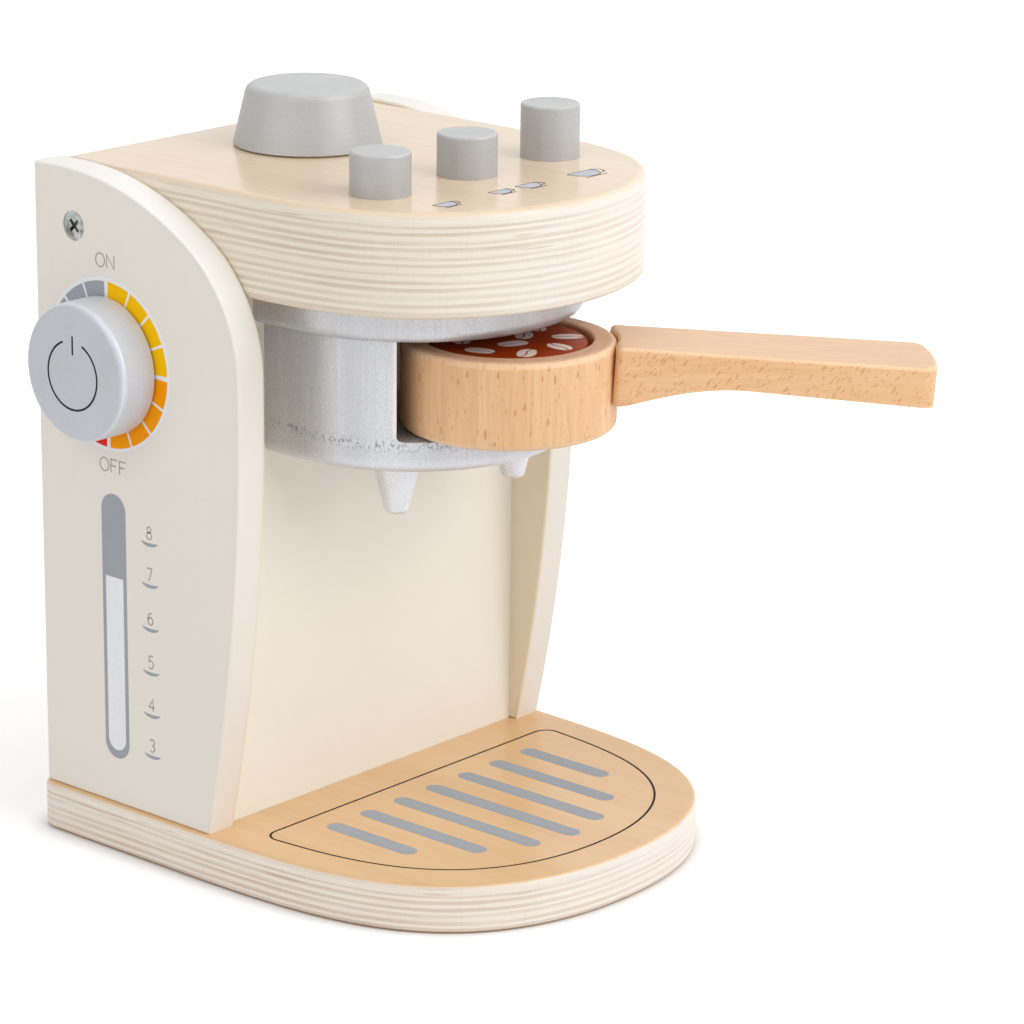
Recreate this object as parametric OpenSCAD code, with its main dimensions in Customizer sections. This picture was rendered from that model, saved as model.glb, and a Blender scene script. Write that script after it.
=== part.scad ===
// Wooden toy coffee maker: a plywood base, two painted side panels, a plywood head with three
// sprung buttons and a knob, and a group head whose pocket takes a portafilter with a coffee pad.
// Origin: centre of the base's underside. +Z is up and the front faces -Y. Millimetres.

/* [Base] */
// Width of the base plate
base_w = 150; // [140:1:170]
// Depth of the base plate, back to front
base_d = 170; // [165:1:190]
// Thickness of the base plate
base_t = 14.5; // [12:0.5:18]
// Radius of the base plate's rear corners
base_corner_r = 7; // [3:1:15]

/* [Side panels] */
// Width over the outer faces of both panels
body_w = 146.5; // [140:0.5:148]
// Thickness of a panel
panel_t = 10.5; // [9:0.5:12]
// Height of a panel
panel_h = 190; // [185:1:200]
// Greatest depth of a panel
panel_d = 82.5; // [80:0.5:86]
// Depth of a panel where it stands on the base
panel_foot_d = 68.5; // [66:0.5:72]
// How far a panel's back edge lies in front of the base's back edge
panel_inset = 3; // [0:0.5:8]
// Radius of the shoulder's gentle upper arc
shoulder_r = 95; // [80:1:100]
// Radius of the shoulder's tighter lower arc
shoulder_low_r = 45; // [35:1:50]
// Angle that the upper arc turns before the lower one takes over
shoulder_turn = 33; // [25:1:38]

/* [Front wall] */
// Thickness of the wall between the panels
wall_t = 9; // [6:0.5:12]
// Distance of the wall's front face behind the panels' foot
wall_setback = 2.7; // [1:0.1:6]

/* [Head block] */
// Thickness of the head block
head_t = 29.8; // [28:0.1:34]
// How far the head's top lies below the panels' top
head_sink = 0.5; // [0:0.1:2]
// Distance from the panels' back edge to the head's bowed front
head_d = 147.8; // [140:0.1:155]
// Distance from the panels' back edge to where the sides start to bow
head_straight = 54; // [40:1:60]
// Edge rounding of the head block
head_edge_r = 2.5; // [1:0.5:3]

/* [Group head] */
// Distance of the group's axis behind the origin
group_back = 1; // [0:0.5:4]
// Radius of the flange under the head
flange_r = 50.4; // [48:0.1:54]
// Thickness of the flange
flange_t = 11.2; // [10:0.1:13]
// Radius of the collar
collar_r = 46; // [44:0.5:48]
// Height of the collar under the flange
collar_h = 39; // [38:0.1:42]
// Thickness of the collar's floor
collar_floor = 9.3; // [7:0.1:10]
// Half the width of the pocket
pocket_w = 36.7; // [33:0.1:37]
// Fillet between the pocket's wall and floor
pocket_fillet = 1.5; // [1:0.5:5]
// Half the distance between the two spouts
spout_x = 25.4; // [20:0.1:28]
// Distance of the spouts in front of the group's axis
spout_front = 17.5; // [12:0.1:20]
// Length of a spout
spout_h = 15.9; // [12:0.1:20]

/* [Portafilter] */
// Outer radius of the ring
ring_r = 31.2; // [28:0.1:32]
// Height of the ring
ring_h = 25.8; // [22:0.1:27]
// Radius of the recess for the pad
ring_recess_r = 24.2; // [21:0.1:26]
// How far the pad's top lies below the ring's top
pad_sunk = 0.8; // [0:0.1:4]
// Distance of the ring's centre in front of the group's axis
ring_front = 37.6; // [34:0.1:42]
// Angle of the handle from straight ahead, towards the right
handle_turn = 44; // [0:1:60]
// Slope of the handle down to its end
handle_droop = 3.8; // [0:0.1:8]
// Length of the handle
handle_l = 92; // [80:1:110]
// Width of the handle at the ring
handle_w = 28; // [20:0.1:30]
// Width of the handle at its end
handle_end_w = 31; // [24:0.1:34]
// Radius of the coffee pad
pad_r = 22.8; // [20:0.1:24]
// Thickness of the coffee pad
pad_h = 9; // [6:0.5:9]

/* [Buttons] */
// Radius of a button
button_r = 8.7; // [7:0.1:10]
// Distance between neighbouring buttons
button_pitch = 36.3; // [30:0.1:38]
// Distance of the row of buttons in front of the origin
button_front = 20; // [16:0.5:26]
// How far the left and middle buttons stand out
button_out = 12.3; // [8:0.1:15]
// How much further the right button stands out
tall_extra = 3.6; // [0:0.1:6]
// Travel of a button
button_travel = 4; // [2:0.5:4]

/* [Knobs] */
// Radius of the top knob at its foot
top_knob_r = 22; // [18:0.5:26]
// Radius of the top knob at its top
top_knob_top_r = 18.5; // [14:0.5:22]
// Height of the top knob
top_knob_h = 18; // [14:0.5:22]
// Distance of the top knob's axis behind the origin
top_knob_back = 43; // [35:1:50]
// Radius of the power knob
power_knob_r = 20.3; // [16:0.1:24]
// Thickness of the power knob
power_knob_t = 13; // [10:0.5:16]
// Distance of the power knob's axis behind the origin
power_knob_back = 52.5; // [48:0.5:56]
// Height of the power knob's axis
power_knob_z = 148.7; // [140:0.1:155]

/* [Fits] */
// Radial clearance of a running fit
run_gap = 0.07; // [0.02:0.01:0.1]
// Gap between faces that slide past each other
face_gap = 0.3; // [0.2:0.05:0.5]

/* [Hidden] */
$fn = 96;
over = 1; // how far a cutter runs past the face that it cuts

// Levels and faces
base_front_y = -base_d / 2;
base_back_y = base_d / 2;
panel_back_y = base_back_y - panel_inset;
panel_front_y = panel_back_y - panel_d;
panel_foot_y = panel_back_y - panel_foot_d;
inner_x = body_w / 2 - panel_t;
outer_x = body_w / 2;
panel_mid_x = outer_x - panel_t / 2;
top_z = base_t + panel_h;
head_top_z = top_z - head_sink;
head_z = head_top_z - head_t;
wall_front_y = panel_foot_y + wall_setback;
wall_mid_y = wall_front_y + wall_t / 2;
head_front_y = panel_back_y - head_d;
head_bow_y = panel_back_y - head_straight;
base_edge_r = 1.5;
panel_edge_r = 0.8;
head_low_edge_r = 1;

// Bowed fronts: where the base's bow starts, and the powers of both curves
base_bow_y = panel_back_y - 6;
base_side_power = 2.15;
base_front_power = 5.4;
head_side_power = 1.84;
head_front_power = 4;
bow_steps = 22;

// A panel's front edge leans back from this height down to its foot
belly_z = 140;
panel_corner_r = 1.2;

// Group head and portafilter
group_y = group_back;
flange_z = head_z - flange_t;
collar_z = flange_z - collar_h;
pocket_z = collar_z + collar_floor;
flange_edge_r = 3;
collar_edge_r = 3;
spout_y = group_y - spout_front;
spout_foot_r = 7.2;
spout_tip_r = 3.7;
spout_pin_r = 3;
spout_pin_h = 5;
ring_y = group_y - ring_front;
ring_z = pocket_z + 0.1;
ring_top_z = ring_z + ring_h;
pad_z = ring_top_z - pad_sunk - pad_h;
pad_seat_gap = 0.05;
recess_z = pad_z - pad_seat_gap;
// Heights of the handle at the ring, at its waist and at its end, all below its flat top
handle_top_z = ring_top_z + 0.3;
handle_root_h = 17.7;
handle_waist_h = 10.3;
handle_end_h = 12;
handle_waist = 36;
handle_arch_power = 0.65;
handle_edge_r = 1.5;
handle_root_edge_r = 1.2;
handle_root_corner_r = 2;
handle_root_in = 1.2;
handle_corner_r = 4;
handle_end_r = 58;
handle_dowel_r = 3;
handle_dowel_z = ring_top_z - 5.5;
handle_dowel_in = 25.8;
handle_dowel_out = 48;

// Buttons: each stands in a blind bore on a spring, and a screw from below stops its way up
button_y = -button_front;
button_bore_r = button_r + run_gap;
button_bore_z = head_top_z - 19;
button_foot_z = head_top_z - 9.5;
button_web = 4;
button_well_r = 5;
button_well_z = button_bore_z - button_web;
button_screw_r = 1.75;
button_screw_head_r = 4.2;
button_screw_head_h = 2.6;
button_screw_grip = 6;
stop_gap = 0.1;
spring_r = 5.6;
spring_wire_r = 0.45;
spring_turns = 4.5;
spring_gap = 0.05;

// Knob screws
knob_screw_r = 2.5;
knob_screw_head_r = 6;
knob_screw_head_h = 3;
knob_screw_grip = 10;

// Countersunk wood screws and dowels
screw_r = 1.9;
screw_head_r = 4.4;
screw_head_h = 2.8;
screw_sink = 0.3;
head_screw_y = panel_back_y - 16.4;
head_screw_z = head_z + 13.3;
head_screw_l = 34;
head_dowel_y = panel_back_y - 42;
head_dowel_z = head_z + 10;
head_dowel_r = 4;
head_dowel_l = 22;
head_dowel_sink = 6;
base_screw_l = 36;
base_screw_ys = [panel_back_y - 12, panel_back_y - 55];
wall_screw_xs = [-35, 35];
wall_dowel_xs = [-40, 40];
wall_dowel_r = 3;
wall_dowel_l = 20;
group_screw_x = 19;
group_screw_l = 26;
collar_dowel_r = 2.5;
collar_dowel_l = 14;
collar_dowel_x = (pocket_w + collar_r) / 2;
collar_dowel_y = group_y + 5;

// Colours
cream = [0.92, 0.89, 0.83];
birch = [0.93, 0.84, 0.71];
beech = [0.87, 0.67, 0.47];
silver = [0.72, 0.73, 0.75];
pad_brown = [0.55, 0.24, 0.10];
steel = [0.60, 0.60, 0.62];

// ---------- helpers ----------

function lerp(a, b, t) = a + (b - a) * t;
function clamp01(t) = min(1, max(0, t));
function smooth(t) = let (c = clamp01(t)) c * c * (3 - 2 * c);
function arc(cx, cy, r, a0, a1, steps) =
    [for (k = [0:steps]) let (a = lerp(a0, a1, k / steps)) [cx + r * cos(a), cy + r * sin(a)]];

function rest(points) = [for (k = [1:len(points) - 1]) points[k]];

// Bowed half front, from the straight side at y0 to the foremost point at y1
function bow(side, y0, y1, side_power, front_power) =
    [for (k = [0:bow_steps]) let (t = 90 * k / bow_steps)
        [side * pow(cos(t), 2 / side_power), lerp(y0, y1, pow(sin(t), 2 / front_power))]];

// Closes a half outline, whose last point is on the centre line, with its mirror image
function mirrored(points) =
    concat(points, [for (k = [len(points) - 2:-1:0]) [-points[k][0], points[k][1]]]);

// A convex outline, given clockwise, with each side moved in by d
function unit(v) = v / norm(v);
function inset(points, d) = let (n = len(points))
    [for (k = [0:n - 1])
        let (u = unit(points[k] - points[(k + n - 1) % n]), v = unit(points[(k + 1) % n] - points[k]),
            side = [u[1], -u[0]], next_side = [v[1], -v[0]])
        points[k] + d * (side + next_side) / (1 + side * next_side)];

// Plate of thickness t with rounded edges, of a convex outline given clockwise
module rounded_plate(outline, t, low_r, high_r) {
    step = 30;
    levels = concat(
        [for (a = [90:-step:0]) [low_r * (1 - sin(a)), low_r * (1 - cos(a))]],
        [for (a = [0:step:90]) [t - high_r * (1 - sin(a)), high_r * (1 - cos(a))]]);
    n = len(outline);
    top = n * (len(levels) - 1);
    points = [for (level = levels) for (q = inset(outline, level[1])) [q[0], q[1], level[0]]];
    walls = [for (k = [0:n:top - n]) for (j = [0:n - 1]) let (m = (j + 1) % n)
        [k + j, k + m, k + n + m, k + n + j]];
    polyhedron(points, concat(walls, [[for (j = [n - 1:-1:0]) j], [for (j = [0:n - 1]) top + j]]));
}

// Countersunk screw: its head's face is at z = 0 and it points down
module countersunk_screw(l) {
    cross_w = 1.1;
    cross_l = 4.6;
    cross_h = 1.6;
    tip_h = 3;
    tip_r = 0.4;
    difference() {
        union() {
            translate([0, 0, -screw_head_h]) cylinder(h = screw_head_h, r1 = screw_r, r2 = screw_head_r);
            translate([0, 0, tip_h - l]) cylinder(h = l - tip_h - screw_head_h, r = screw_r);
            translate([0, 0, -l]) cylinder(h = tip_h, r1 = tip_r, r2 = screw_r);
        }
        for (a = [45, 135]) {
            rotate([0, 0, a]) translate([-cross_l / 2, -cross_w / 2, -cross_h])
                cube([cross_l, cross_w, cross_h + over]);
        }
    }
}

// The space that a countersunk screw needs: its head's seat, then its shank
module countersunk_hole(l) {
    translate([0, 0, -screw_head_h]) cylinder(h = screw_head_h, r1 = screw_r, r2 = screw_head_r);
    cylinder(h = screw_sink + over, r = screw_head_r);
    translate([0, 0, -l]) cylinder(h = l - screw_head_h, r = screw_r);
}

// Pan-head screw pointing up: the underside of its head is at z = 0
module pan_screw(r, head_r, head_h, l) {
    edge = 0.8;
    slot = 1.2;
    slot_h = 1;
    difference() {
        union() {
            rotate_extrude() polygon(concat([[0, 0], [head_r, 0]],
                arc(head_r - edge, -head_h + edge, edge, 0, -90, 5), [[0, -head_h]]));
            cylinder(h = l, r = r);
        }
        translate([-head_r - over, -slot / 2, -head_h - over])
            cube([2 * (head_r + over), slot, slot_h + over]);
    }
}

// Round wire wound into an open coil, standing on z = 0
module coil(r, wire_r, h, turns) {
    sides = 8;
    per_turn = 18;
    rings = turns * per_turn;
    rise = h - 2 * wire_r;
    points = [for (k = [0:rings]) let (a = 360 * k / per_turn) for (j = [0:sides - 1])
        let (b = 360 * j / sides, out = r + wire_r * cos(b))
        [out * cos(a), out * sin(a), wire_r + rise * k / rings + wire_r * sin(b)]];
    walls = [for (k = [0:rings - 1]) for (j = [0:sides - 1]) let (n = (j + 1) % sides)
        [k * sides + j, k * sides + n, (k + 1) * sides + n, (k + 1) * sides + j]];
    caps = [[for (j = [sides - 1:-1:0]) j], [for (j = [0:sides - 1]) rings * sides + j]];
    polyhedron(points, concat(walls, caps));
}

// ---------- outlines ----------

base_outline = mirrored(concat(
    arc(base_w / 2 - base_corner_r, base_back_y - base_corner_r, base_corner_r, 90, 0, 6),
    bow(base_w / 2, base_bow_y, base_front_y, base_side_power, base_front_power)));

head_outline = mirrored(concat(
    [[inner_x, panel_back_y]],
    bow(inner_x, head_bow_y, head_front_y, head_side_power, head_front_power)));

// Side view of a panel: depth, then height. A tight arc and a gentle one make its shoulder
shoulder_low_y = panel_front_y + shoulder_low_r;
shoulder_y = shoulder_low_y + (shoulder_r - shoulder_low_r) * sin(shoulder_turn);
shoulder_z = top_z - shoulder_r;
shoulder_low_z = shoulder_z + (shoulder_r - shoulder_low_r) * cos(shoulder_turn);
belly_drop = belly_z - base_t;
belly_lean = panel_foot_y - panel_front_y;
belly_r = (belly_drop * belly_drop + belly_lean * belly_lean) / (2 * belly_lean);
belly_angle = asin(belly_drop / belly_r);
panel_outline = concat(
    [[panel_back_y, base_t]],
    arc(panel_front_y + belly_r, belly_z, belly_r, 180 + belly_angle, 180, 10),
    rest(arc(shoulder_low_y, shoulder_low_z, shoulder_low_r, 180, 90 + shoulder_turn, 14)),
    rest(arc(shoulder_y, shoulder_z, shoulder_r, 90 + shoulder_turn, 90, 12)),
    arc(panel_back_y - panel_corner_r, top_z - panel_corner_r, panel_corner_r, 90, 0, 5));

// ---------- body ----------

module base_plate() {
    color(birch) difference() {
        rounded_plate(base_outline, base_t, base_edge_r, base_edge_r);
        base_screw_places() countersunk_hole(base_screw_l);
    }
}

// A panel with its outer face towards +X
module panel() {
    difference() {
        translate([inner_x, 0, 0]) rotate([90, 0, 90])
            rounded_plate(panel_outline, panel_t, panel_edge_r, panel_edge_r);
        head_screw_place() countersunk_hole(head_screw_l);
        head_dowel_place() cylinder(h = head_dowel_l, r = head_dowel_r);
        base_screw_places() countersunk_hole(base_screw_l);
    }
}

module side_panel_right() {
    color(cream) panel();
}

module side_panel_left() {
    color(cream) difference() {
        mirror([1, 0, 0]) panel();
        power_knob_place() translate([0, 0, -panel_t - over])
            cylinder(h = panel_t + 2 * over, r = knob_screw_r + run_gap);
    }
}

module front_wall() {
    color(cream) difference() {
        translate([-inner_x, wall_front_y, base_t]) cube([2 * inner_x, wall_t, head_z - base_t]);
        base_screw_places() countersunk_hole(base_screw_l);
        wall_dowel_places() cylinder(h = wall_dowel_l, r = wall_dowel_r);
    }
}

module head_block() {
    color(birch) difference() {
        translate([0, 0, head_z]) rounded_plate(head_outline, head_t, head_low_edge_r, head_edge_r);
        for (place = [-1:1]) button_place(place) {
            translate([0, 0, button_bore_z]) cylinder(h = head_t, r = button_bore_r);
            translate([0, 0, head_z - over]) cylinder(h = head_t, r = button_screw_r + run_gap);
            translate([0, 0, head_z - over]) cylinder(h = button_well_z - head_z + over, r = button_well_r);
        }
        translate([0, top_knob_back, head_z - over])
            cylinder(h = head_t + 2 * over, r = knob_screw_r + run_gap);
        for (side = [0, 1]) mirror([side, 0, 0]) {
            head_screw_place() countersunk_hole(head_screw_l);
            head_dowel_place() cylinder(h = head_dowel_l, r = head_dowel_r);
        }
        wall_dowel_places() cylinder(h = wall_dowel_l, r = wall_dowel_r);
        group_screw_places() countersunk_hole(group_screw_l);
    }
}

// ---------- group head ----------

// A section given by its right half, turned round the group's axis in front and drawn straight back
// along both sides to the wall
module bowed_solid(z) {
    reach = wall_front_y - group_y;
    difference() {
        translate([0, group_y, z]) union() {
            rotate_extrude() children();
            for (side = [0, 1]) mirror([side, 0, 0])
                translate([0, reach, 0]) rotate([90, 0, 0]) linear_extrude(reach) children();
        }
        translate([-flange_r - over, wall_front_y, z - over])
            cube([2 * (flange_r + over), 2 * flange_r, flange_t + collar_h + 2 * over]);
    }
}

// Half section of a disc whose lower edge is rounded
module disc_section(r, h, edge) {
    polygon(concat([[0, 0]], arc(r - edge, edge, edge, -90, 0, 8), [[r, h], [0, h]]));
}

module group_flange() {
    color(silver) difference() {
        bowed_solid(flange_z) disc_section(flange_r, flange_t, flange_edge_r);
        group_screw_places() countersunk_hole(group_screw_l);
        collar_dowel_places() cylinder(h = collar_dowel_l, r = collar_dowel_r);
    }
}

module group_collar() {
    color(silver) difference() {
        bowed_solid(collar_z) disc_section(collar_r, collar_h, collar_edge_r);
        for (side = [0, 1]) mirror([side, 0, 0])
            translate([0, wall_front_y + over, pocket_z]) rotate([90, 0, 0])
                linear_extrude(2 * collar_r) disc_section(pocket_w, collar_h, pocket_fillet);
        for (side = [-1, 1]) translate([side * spout_x, spout_y, collar_z - over])
            cylinder(h = spout_pin_h + over, r = spout_pin_r);
        collar_dowel_places() cylinder(h = collar_dowel_l, r = collar_dowel_r);
    }
}

module spout(side) {
    round_r = 2;
    color(silver) translate([side * spout_x, spout_y, collar_z - spout_h]) {
        rotate_extrude() polygon(concat(
            [[0, 0]], arc(spout_tip_r - round_r, round_r, round_r, -90, -10, 6),
            [[spout_foot_r, spout_h], [0, spout_h]]));
        translate([0, 0, spout_h]) cylinder(h = spout_pin_h, r = spout_pin_r);
    }
}

module spout_left() {
    spout(-1);
}

module spout_right() {
    spout(1);
}

// ---------- portafilter ----------

// The ring's centre, with +X turned to the handle's direction
module portafilter_place() {
    translate([0, ring_y, 0]) rotate([0, 0, handle_turn - 90]) children();
}

module handle_dowel_shape() {
    translate([handle_dowel_in, 0, handle_dowel_z]) rotate([0, 90, 0])
        cylinder(h = handle_dowel_out - handle_dowel_in, r = handle_dowel_r);
}

module portafilter_ring() {
    edge = 2.4;
    lip = 0.8;
    color(beech) portafilter_place() difference() {
        translate([0, 0, ring_z]) rotate_extrude() polygon(concat(
            [[0, 0]],
            arc(ring_r - edge, edge, edge, -90, 0, 6),
            arc(ring_r - edge, ring_h - edge, edge, 0, 90, 6),
            arc(ring_recess_r + lip, ring_h - lip, lip, 90, 180, 4),
            [[ring_recess_r, recess_z - ring_z], [0, recess_z - ring_z]]));
        handle_dowel_shape();
    }
}

// Plan of the handle, by distance from the ring's wall. Its corners touch both the tapered side
// and the arched end
handle_root = concat(
    [[-handle_root_in, 0]],
    arc(handle_root_corner_r - handle_root_in, handle_w / 2 - handle_root_corner_r,
        handle_root_corner_r, 180, 90, 4));
handle_corner_y = handle_end_w / 2 - handle_corner_r;
handle_corner_x = handle_l - handle_end_r
    + sqrt(pow(handle_end_r - handle_corner_r, 2) - pow(handle_corner_y, 2));
handle_end_a = asin(handle_corner_y / (handle_end_r - handle_corner_r));
handle_outline = concat(
    handle_root,
    arc(handle_corner_x, handle_corner_y, handle_corner_r, 90, handle_end_a, 5),
    rest(arc(handle_l - handle_end_r, 0, handle_end_r, handle_end_a, -handle_end_a, 8)),
    rest(arc(handle_corner_x, -handle_corner_y, handle_corner_r, -handle_end_a, -90, 5)),
    [for (k = [len(handle_root) - 1:-1:1]) [handle_root[k][0], -handle_root[k][1]]]);

// Height of the handle by distance from the ring's wall: an ogee to the waist, then a slow rise
function handle_h(d) = d < handle_waist
    ? lerp(handle_root_h, handle_waist_h, smooth(pow(max(0, d) / handle_waist, handle_arch_power)))
    : lerp(handle_waist_h, handle_end_h, (d - handle_waist) / (handle_l - handle_waist));

// What is cut from below to arch the handle and to round the foot of its end
module handle_arch() {
    low = -2 * handle_root_h;
    round_r = 2;
    step = 2;
    end = handle_l - round_r;
    rotate([90, 0, 0]) linear_extrude(2 * handle_end_w, center = true) polygon(concat(
        [[0, low], [0, -handle_root_h]],
        [for (d = [step / 2:step:end]) [d, -handle_h(d)]],
        arc(end, -handle_end_h + round_r, round_r, -90, 0, 5),
        [[handle_l + over, -handle_end_h + round_r], [handle_l + over, low]]));
}

// What is cut from the top of the coped end to round its edge along the ring
module handle_root_edge() {
    r = handle_root_edge_r;
    translate([0, 0, handle_top_z]) rotate_extrude() polygon(concat(
        [[ring_r - over, over], [ring_r - over, -r]], arc(ring_r + r, -r, r, 180, 90, 5),
        [[ring_r + r, over]]));
}

module portafilter_handle() {
    color(beech) portafilter_place() difference() {
        translate([ring_r, 0, handle_top_z]) rotate([0, handle_droop, 0]) difference() {
            translate([0, 0, -handle_root_h])
                rounded_plate(handle_outline, handle_root_h, handle_root_edge_r, handle_edge_r);
            handle_arch();
        }
        translate([0, 0, ring_z - over]) cylinder(h = 2 * ring_h, r = ring_r);
        handle_root_edge();
        handle_dowel_shape();
    }
}

module handle_dowel() {
    color(beech) portafilter_place() handle_dowel_shape();
}

module coffee_pad() {
    edge = 1.2;
    color(pad_brown) translate([0, ring_y, pad_z]) rotate_extrude() polygon(concat(
        [[0, 0]], arc(pad_r - edge, edge, edge, -90, 0, 5), arc(pad_r - edge, pad_h - edge, edge, 0, 90, 5),
        [[0, pad_h]]));
}

// ---------- buttons ----------

// Place is -1 on the left, 0 in the middle and 1 on the right
module button_place(place) {
    translate([place * button_pitch, button_y, 0]) children();
}

function button_top(place) = head_top_z + button_out + (place == 1 ? tall_extra : 0);

module button(place) {
    edge = 0.8;
    h = button_top(place) - button_foot_z;
    color(silver) button_place(place) translate([0, 0, button_foot_z]) difference() {
        rotate_extrude() polygon(concat([[0, 0], [button_r, 0]],
            arc(button_r - edge, h - edge, edge, 0, 90, 5), [[0, h]]));
        translate([0, 0, -over]) cylinder(h = button_screw_grip + over, r = button_screw_r);
    }
}

module button_screw(place) {
    color(steel) button_place(place) translate([0, 0, button_well_z - stop_gap])
        pan_screw(button_screw_r, button_screw_head_r, button_screw_head_h,
            button_foot_z + button_screw_grip - button_well_z + stop_gap);
}

module button_spring(place) {
    color(steel) button_place(place) translate([0, 0, button_bore_z + spring_gap])
        coil(spring_r, spring_wire_r, button_foot_z - button_bore_z - 2 * spring_gap, spring_turns);
}

module button_left() {
    button(-1);
}

module button_middle() {
    button(0);
}

module button_right() {
    button(1);
}

module button_screw_left() {
    button_screw(-1);
}

module button_screw_middle() {
    button_screw(0);
}

module button_screw_right() {
    button_screw(1);
}

module button_spring_left() {
    button_spring(-1);
}

module button_spring_middle() {
    button_spring(0);
}

module button_spring_right() {
    button_spring(1);
}

// ---------- knobs ----------

// Screw that holds a knob through a part of thickness t, on which it turns
module knob_screw(t) {
    pan_screw(knob_screw_r, knob_screw_head_r, knob_screw_head_h, t + 2 * face_gap + knob_screw_grip);
}

module top_knob() {
    edge = 3.2;
    foot = 0.4;
    lean = atan((top_knob_r - top_knob_top_r) / top_knob_h);
    color(silver) translate([0, top_knob_back, head_top_z + face_gap]) difference() {
        rotate_extrude() polygon(concat([[0, 0], [top_knob_r - foot, 0], [top_knob_r, foot]],
            arc(top_knob_top_r - edge, top_knob_h - edge, edge, lean, 90, 8), [[0, top_knob_h]]));
        translate([0, 0, -over]) cylinder(h = knob_screw_grip + over, r = knob_screw_r);
    }
}

module top_knob_screw() {
    color(steel) translate([0, top_knob_back, head_z - face_gap]) knob_screw(head_t);
}

// The power knob's axis, with +Z turned to the machine's left
module power_knob_place() {
    translate([-outer_x, power_knob_back, power_knob_z]) rotate([0, -90, 0]) children();
}

module power_knob() {
    edge = 2;
    foot = 0.6;
    color(silver) power_knob_place() translate([0, 0, face_gap]) difference() {
        rotate_extrude() polygon(concat([[0, 0], [power_knob_r - foot, 0], [power_knob_r, foot]],
            arc(power_knob_r - edge, power_knob_t - edge, edge, 0, 90, 8), [[0, power_knob_t]]));
        translate([0, 0, -over]) cylinder(h = knob_screw_grip + over, r = knob_screw_r);
    }
}

module power_knob_screw() {
    color(steel) power_knob_place() translate([0, 0, -panel_t - face_gap]) knob_screw(panel_t);
}

// ---------- fasteners ----------

// On the right-hand side; the left-hand one is its mirror image
module head_screw_place() {
    translate([outer_x - screw_sink, head_screw_y, head_screw_z]) rotate([0, 90, 0]) children();
}

module head_dowel_place() {
    translate([inner_x + head_dowel_sink, head_dowel_y, head_dowel_z]) rotate([0, -90, 0]) children();
}

module base_screw_places() {
    for (side = [-1, 1]) for (y = base_screw_ys)
        translate([side * panel_mid_x, y, screw_sink]) rotate([180, 0, 0]) children();
    for (x = wall_screw_xs)
        translate([x, wall_mid_y, screw_sink]) rotate([180, 0, 0]) children();
}

module wall_dowel_places() {
    for (x = wall_dowel_xs) translate([x, wall_mid_y, head_z - wall_dowel_l / 2]) children();
}

module group_screw_places() {
    for (side = [-1, 1]) translate([side * group_screw_x, group_y, flange_z + screw_sink])
        rotate([180, 0, 0]) children();
}

module collar_dowel_places() {
    for (side = [-1, 1])
        translate([side * collar_dowel_x, collar_dowel_y, flange_z - collar_dowel_l / 2]) children();
}

module head_screws() {
    color(steel) for (side = [0, 1]) mirror([side, 0, 0]) head_screw_place() countersunk_screw(head_screw_l);
}

module head_dowels() {
    color(beech) for (side = [0, 1]) mirror([side, 0, 0])
        head_dowel_place() cylinder(h = head_dowel_l, r = head_dowel_r);
}

module base_screws() {
    color(steel) base_screw_places() countersunk_screw(base_screw_l);
}

module wall_dowels() {
    color(beech) wall_dowel_places() cylinder(h = wall_dowel_l, r = wall_dowel_r);
}

module group_screws() {
    color(steel) group_screw_places() countersunk_screw(group_screw_l);
}

module collar_dowels() {
    color(beech) collar_dowel_places() cylinder(h = collar_dowel_l, r = collar_dowel_r);
}

base_plate();
side_panel_left();
side_panel_right();
front_wall();
head_block();
group_flange();
group_collar();
spout_left();
spout_right();
portafilter_ring();
portafilter_handle();
handle_dowel();
coffee_pad();
button_left();
button_middle();
button_right();
button_screw_left();
button_screw_middle();
button_screw_right();
button_spring_left();
button_spring_middle();
button_spring_right();
top_knob();
top_knob_screw();
power_knob();
power_knob_screw();
head_screws();
head_dowels();
base_screws();
wall_dowels();
group_screws();
collar_dowels();
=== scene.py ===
import math

import bmesh
import bpy
from mathutils import Matrix, Vector


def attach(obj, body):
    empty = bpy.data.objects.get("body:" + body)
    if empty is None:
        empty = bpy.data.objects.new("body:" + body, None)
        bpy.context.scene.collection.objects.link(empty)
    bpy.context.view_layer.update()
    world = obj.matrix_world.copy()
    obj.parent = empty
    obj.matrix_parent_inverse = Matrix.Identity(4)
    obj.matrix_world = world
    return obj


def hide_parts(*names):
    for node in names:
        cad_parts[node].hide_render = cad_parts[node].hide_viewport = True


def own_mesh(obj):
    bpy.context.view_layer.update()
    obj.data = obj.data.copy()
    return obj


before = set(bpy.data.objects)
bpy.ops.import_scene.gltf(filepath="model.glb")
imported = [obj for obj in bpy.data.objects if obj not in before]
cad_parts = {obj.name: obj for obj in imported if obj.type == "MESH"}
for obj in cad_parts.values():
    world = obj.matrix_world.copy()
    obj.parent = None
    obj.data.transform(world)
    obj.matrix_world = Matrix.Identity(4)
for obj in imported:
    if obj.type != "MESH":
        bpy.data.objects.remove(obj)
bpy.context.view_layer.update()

MM = 0.001

# -------------------------------------------------- sizes, in millimetres as in the CAD
BASE_TOP = 14.5
HEAD_TOP = 204.0
OUTER_X = 73.25
KNOB_Y, KNOB_Z = 52.5, 148.7
KNOB_FACE = 13.3
POCKET_X = 36.7
SEAM_Z = 130.5
PAD_Y, PAD_TOP = -36.6, 158.4
HANDLE_TURN = math.radians(44)

# Printed films: how far each stands out, so that one shows over another
FILL, UNDER, FILM, OVER = 0.02, 0.03, 0.04, 0.05


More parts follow.
